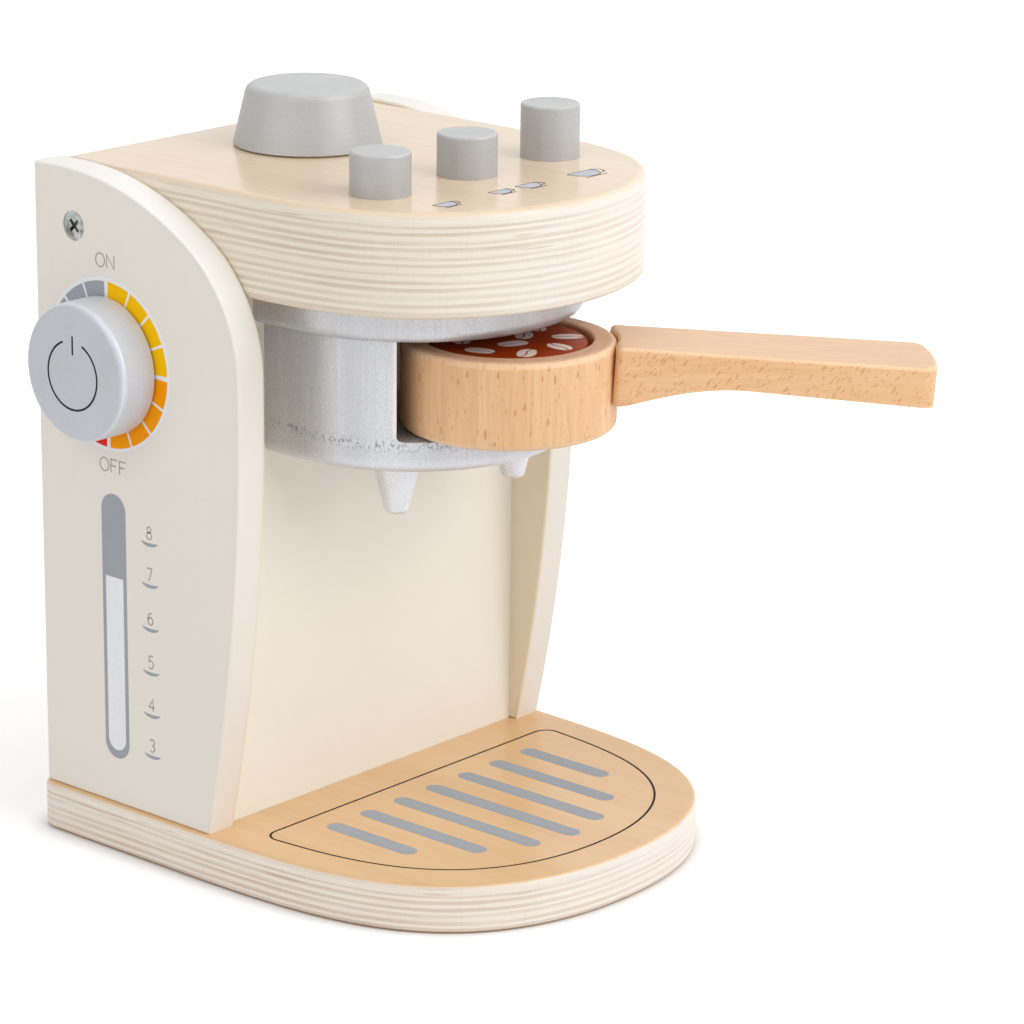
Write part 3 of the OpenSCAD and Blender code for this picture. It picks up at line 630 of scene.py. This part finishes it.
# -------------------------------------------------- prints on the left side
side = Sheet((-OUTER_X, KNOB_Y, KNOB_Z), (0, -1, 0), (0, 0, 1))
DISC_IN, DISC_OUT = 17.0, 25.7
MARK_IN, MARK_OUT = 19.0, 24.6
QUARTER_GAP, MARK_GAP = 3.4, 2.0
MARK = (90 - QUARTER_GAP - 3 * MARK_GAP) / 4
printed("dial_disc", "machine", "ink_white", side,
        [sector(DISC_IN, DISC_OUT, 0, 360)], UNDER)
for name, start in (("yellow", 0), ("grey", 90), ("red", 180), ("orange", 270)):
    marks = []
    for k in range(4):
        first = start + QUARTER_GAP / 2 + k * (MARK + MARK_GAP)
        marks.append(sector(MARK_IN, MARK_OUT, first, first + MARK))
    printed("dial_marks_" + name, "machine", "ink_" + name, side, marks, OVER)

WORD_H, WORD_STROKE, WORD_SPREAD = 3.95, 0.40, 1.16
ON_AT, OFF_AT = (-4.2, 28.6), (-4.0, -32.0)
printed("switch_words", "machine", "ink_line", side,
        words("ON", *ON_AT, WORD_H, WORD_STROKE, WORD_SPREAD)
        + words("OFF", *OFF_AT, WORD_H, WORD_STROKE, WORD_SPREAD))

GAUGE_Y = 51.15
COLUMN_R, COLUMN_LOW, COLUMN_HIGH = 5.05, 28.8, 110.3
LEVEL_R, LEVEL_LOW, LEVEL_HIGH = 3.65, 31.4, 84.9
NUMBER_U, NUMBER_H, NUMBER_HALF, NUMBER_STROKE = 14.85, 3.8, 1.1, 0.42
NUMBERS = {"8": 101.5, "7": 88.9, "6": 75.5, "5": 62.1, "4": 49.0, "3": 36.3}
TICK_R, TICK_DROP, TICK_LOW, TICK_HIGH = 3.4, 2.6, 1.5, 0.45
gauge = Sheet((-OUTER_X, GAUGE_Y, 0), (0, -1, 0), (0, 0, 1))
printed("gauge_column", "machine", "ink_grey", gauge,
        [round_bar(0, COLUMN_R, COLUMN_LOW, COLUMN_HIGH, 24)], UNDER)
printed("gauge_level", "machine", "ink_white", gauge,
        [area([(LEVEL_R, LEVEL_HIGH), (-LEVEL_R, LEVEL_HIGH)]
              + arc(0, LEVEL_LOW + LEVEL_R, LEVEL_R, 180, 360, 24))], OVER)
digits, ticks = [], []
for sign, level in NUMBERS.items():
    digits += words(sign, NUMBER_U - NUMBER_HALF, level - NUMBER_H / 2, NUMBER_H,
                    NUMBER_STROKE)
    low = arc(NUMBER_U, level - TICK_DROP, TICK_R, 180, 360, 16, TICK_LOW)
    high = arc(NUMBER_U, level - TICK_DROP, TICK_R, 0, -180, 16, TICK_HIGH)
    ticks.append(area(low + high[1:-1]))
printed("gauge_numbers", "machine", "ink_line", gauge, digits)
printed("gauge_ticks", "machine", "ink_grey", gauge, ticks)

# -------------------------------------------------- sign on the power knob
SIGN_U, SIGN_V, SIGN_R, SIGN_STROKE = -0.4, -0.8, 10.1, 0.6
SIGN_FROM, SIGN_TO = 112, 426
STEM_U, STEM_LOW, STEM_HIGH = -0.2, 5.3, 10.8
knob = Sheet((-OUTER_X - KNOB_FACE, KNOB_Y, KNOB_Z), (0, -1, 0), (0, 0, 1))
printed("power_sign", "power_dial", "ink_dark", knob,
        [ribbon(arc(SIGN_U, SIGN_V, SIGN_R, SIGN_FROM, SIGN_TO, 80), SIGN_STROKE),
         ribbon([(STEM_U, STEM_LOW), (STEM_U, STEM_HIGH)], SIGN_STROKE)], OVER)

# -------------------------------------------------- print on the base
top = Sheet((0, 0, BASE_TOP), (1, 0, 0), (0, 1, 0))


def bow(side, y0, y1, side_power, front_power, steps=48):
    """The CAD's bowed half front, from the straight side to the middle."""
    out = []
    for k in range(steps + 1):
        t = math.pi / 2 * k / steps
        out.append((side * math.cos(t) ** (2 / side_power),
                    y0 + (y1 - y0) * math.sin(t) ** (2 / front_power)))
    return out


HALF_WIDE, BOW_START, FRONT_Y = 75, 73, -85
SIDE_POWER, FRONT_POWER = 2.15, 5.4
INSET, LINE_BACK, LINE_CORNER, LINE_WIDTH = 11.4, 1.2, 4.6, 0.7
BOW_FROM = -1.5
half = [p for p in bow(HALF_WIDE - INSET, BOW_START, FRONT_Y + INSET, SIDE_POWER, FRONT_POWER)
        if p[1] < BOW_FROM]
edge_x = half[0][0]
corner = arc(edge_x - LINE_CORNER, LINE_BACK - LINE_CORNER, LINE_CORNER, 90, 0, 6)
right = corner + half[1:]
outline = right + [(-x, y) for x, y in reversed(right[:-1])]
printed("drip_line", "machine", "ink_dark", top,
        [ribbon(outline, LINE_WIDTH, closed=True)])

SLOT_LENGTHS = (34, 48, 56, 59, 56, 48, 34)
SLOT_PITCH, SLOT_R, SLOT_BACK = 14.4, 2.9, -6.4
slots = [round_bar((k - 3) * SLOT_PITCH, SLOT_R, SLOT_BACK - length, SLOT_BACK, 16)
         for k, length in enumerate(SLOT_LENGTHS)]
printed("drip_slots", "machine", "ink_grey", top, slots, UNDER)

# -------------------------------------------------- cup signs on the head
# Each cup is its left end and its width, and the rest of it is in shares of that width
CUP_ROW_X, CUP_ROW_Y = 2.3, -40.9
CUPS = ((-40.0, 7.4), (-16.8, 7.2), (-5.4, 8.2), (17.2, 10.6))
RIM_STROKE, GRIP_STROKE, SAUCER_STROKE = 0.28, 0.34, 0.3
crown = Sheet((CUP_ROW_X, CUP_ROW_Y, HEAD_TOP), (1, 0, 0), (0, 1, 0))
fills, lines = [], []
for left, wide in CUPS:
    deep = wide * 0.62
    bowl = arc(left + wide / 2, 0, wide / 2, 0, -180, 24, deep)
    bowl = [(x, max(y, -deep * 0.93)) for x, y in bowl]
    grip = arc(left + wide - 0.20, -deep * 0.38, wide * 0.18, 115, -110, 16, deep * 0.32)
    saucer = [(left + wide * share, -deep * 1.03) for share in (0.05, 0.92)]
    fills.append(area(bowl))
    lines.append(ribbon([(left, 0), *bowl[::-1], (left, 0.001)], RIM_STROKE))
    lines.append(ribbon(grip, GRIP_STROKE))
    lines.append(ribbon(saucer, SAUCER_STROKE))
printed("cup_fills", "machine", "ink_cup", crown, fills, FILL)
printed("cup_lines", "machine", "ink_dark", crown, lines)

# -------------------------------------------------- beans on the pad
pad_top = Sheet((0, PAD_Y, PAD_TOP), (1, 0, 0), (0, 1, 0))
# Each bean is its place, its turn in degrees and half its length
BEANS = [(-8.5, -14.0, 20, 4.5), (3.5, -16.0, 75, 4.4), (14.0, -10.0, 130, 4.6),
         (15.5, 3.5, 60, 4.4), (-15.5, -2.5, 100, 4.5), (-3.0, -4.0, 150, 4.6),
         (6.5, 0.0, 25, 4.3), (-10.5, 9.5, 50, 4.5), (2.0, 12.5, 110, 4.5), (12.0, 14.0, 160, 4.2)]


def half_bean(half_side, r):
    """The outline of one half: its belly, then back along the wavy crease."""
    shape = []
    for k in range(17):
        a = math.pi * k / 16
        belly = half_side * (0.28 + r * 0.56 * math.sin(a))
        shape.append((r * math.cos(a), belly + 0.28 * math.sin(2 * a)))
    for k in range(1, 12):
        s = -1 + 2 * k / 12
        shape.append((r * s, half_side * 0.24 + 0.42 * math.sin(math.pi * s)))
    return shape


beans = []
for bx, by, degrees, r in BEANS:
    ca, sa = math.cos(math.radians(degrees)), math.sin(math.radians(degrees))
    for half_side in (1, -1):
        beans.append(area([(bx + ca * x - sa * y, by + sa * x + ca * y)
                           for x, y in half_bean(half_side, r)]))
printed("pad_beans", "pad", "ink_bean", pad_top, beans)

# -------------------------------------------------- floor, light and camera
FLOOR_SIZE, FLOOR_GAP = 6.0, 0.0002
floor = new_object("floor", lambda bm: bmesh.ops.create_grid(
    bm, x_segments=2, y_segments=2, size=FLOOR_SIZE))
floor.location.z = -FLOOR_GAP
floor.data.materials.append(floor_white("floor_white"))

AMBIENT = 0.56
LAMP_AIM = Vector((0, 0, 0.1))
world = bpy.data.worlds.new("studio")
bpy.context.scene.world = world
world.use_nodes = True
tree = world.node_tree
sky = tree.nodes["Background"]
path = tree.nodes.new("ShaderNodeLightPath").outputs
seen = path["Is Camera Ray"]
for name in ("Is Glossy Ray", "Is Transmission Ray"):
    join = tree.nodes.new("ShaderNodeMath")
    join.operation = "MAXIMUM"
    tree.links.new(seen, join.inputs[0])
    tree.links.new(path[name], join.inputs[1])
    seen = join.outputs[0]
level = tree.nodes.new("ShaderNodeMapRange")
tree.links.new(seen, level.inputs["Value"])
level.inputs["To Min"].default_value = AMBIENT
level.inputs["To Max"].default_value = 1.0
sky.inputs["Color"].default_value = (1, 1, 1, 1)
tree.links.new(level.outputs["Result"], sky.inputs["Strength"])


def direction(azimuth, elevation):
    """From the part to a place round it. Azimuth 0 is in front, 90 on the right."""
    a, e = math.radians(azimuth), math.radians(elevation)
    return Vector((math.sin(a) * math.cos(e), -math.cos(a) * math.cos(e), math.sin(e)))


def lamp(name, azimuth, elevation, distance, size, power, tint=(1, 1, 1)):
    """A round soft lamp that points at the middle of the part."""
    back = direction(azimuth, elevation)
    data = bpy.data.lights.new(name, "AREA")
    data.shape = "DISK"
    data.size = size
    data.energy = power
    data.color = tint
    obj = bpy.data.objects.new(name, data)
    bpy.context.scene.collection.objects.link(obj)
    obj.location = LAMP_AIM + back * distance
    obj.rotation_mode = "QUATERNION"
    obj.rotation_quaternion = (-back).to_track_quat("-Z", "Y")


lamp("key", 14, 34, 1.6, 1.5, 14.2, (0.96, 0.98, 1.0))
lamp("left_fill", -95, 27, 1.7, 1.9, 6.7)
lamp("right_fill", 75, 25, 1.7, 1.6, 3.5)
lamp("top_soft", -30, 80, 1.5, 1.5, 2.3)

# The photograph's camera
AZIMUTH, ELEVATION, ROLL = -49.096, 16.739, math.radians(0.662)
TARGET = Vector((0.06964, 0.02188, 0.0795))
DISTANCE = 1.2446
LENS = 139.56
back = direction(AZIMUTH, ELEVATION)
flat_right = (-back).cross(Vector((0, 0, 1))).normalized()
flat_up = flat_right.cross(-back)
cam_right = math.cos(ROLL) * flat_right + math.sin(ROLL) * flat_up
cam_up = math.cos(ROLL) * flat_up - math.sin(ROLL) * flat_right
camera_data = bpy.data.cameras.new("camera")
camera_data.sensor_width = 36
camera_data.lens = LENS
camera = bpy.data.objects.new("camera", camera_data)
bpy.context.scene.collection.objects.link(camera)
turn = Matrix((cam_right, cam_up, back)).transposed()
camera.matrix_world = Matrix.Translation(TARGET + back * DISTANCE) @ turn.to_4x4()
camera_data.clip_start, camera_data.clip_end = 0.05, 50
bpy.context.scene.camera = camera
bpy.context.scene.view_settings.view_transform = "Standard"
